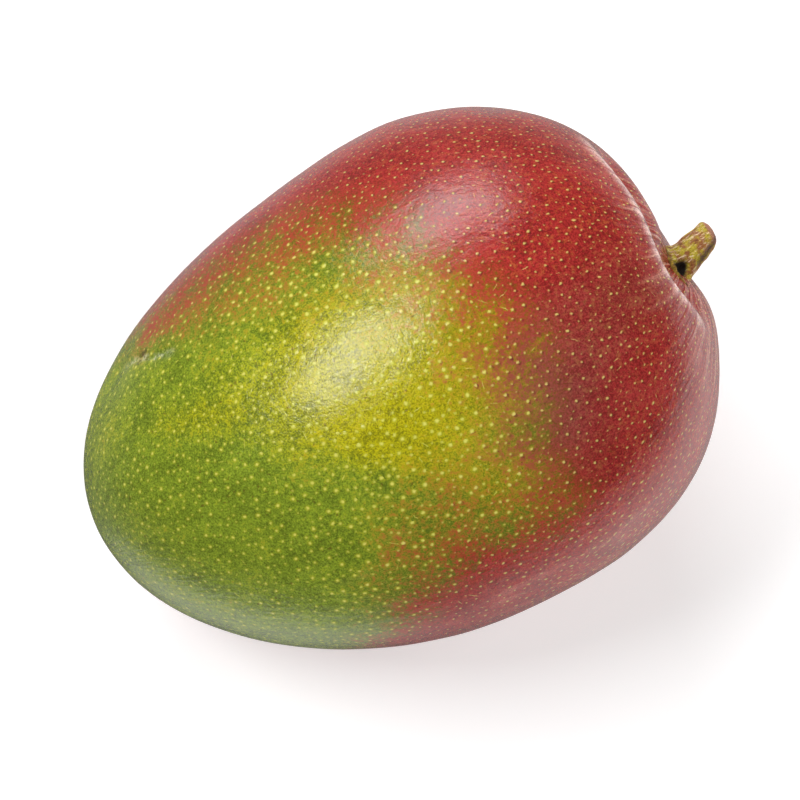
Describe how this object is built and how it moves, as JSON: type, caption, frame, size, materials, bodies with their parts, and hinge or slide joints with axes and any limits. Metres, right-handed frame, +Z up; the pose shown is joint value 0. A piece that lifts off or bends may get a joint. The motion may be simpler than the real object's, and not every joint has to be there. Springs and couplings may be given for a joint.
{
  "type": "mango",
  "caption": "Whole ripe mango with its stem stub, lying on one cheek on a small flat spot, to set on a table, in a bowl or on a market stall.",
  "frame": {"origin": "middle of the part's box at the level of the surface it lies on", "axes": "+X along the fruit towards its stem, +Y towards the edge that its beak leans to, +Z up through the upper cheek"},
  "size_m": [0.1222, 0.0898, 0.0779],
  "materials": {
    "skin": "satin waxy fruit skin, green at the tip, yellow-green on the cheek and crimson at the shoulders, with fine pale specks",
    "stem": "dry woody stub, olive yellow with brown bruises"
  },
  "bodies": {
    "root": {"fruit": "skin", "stem": "stem"}
  },
  "joints": []
}
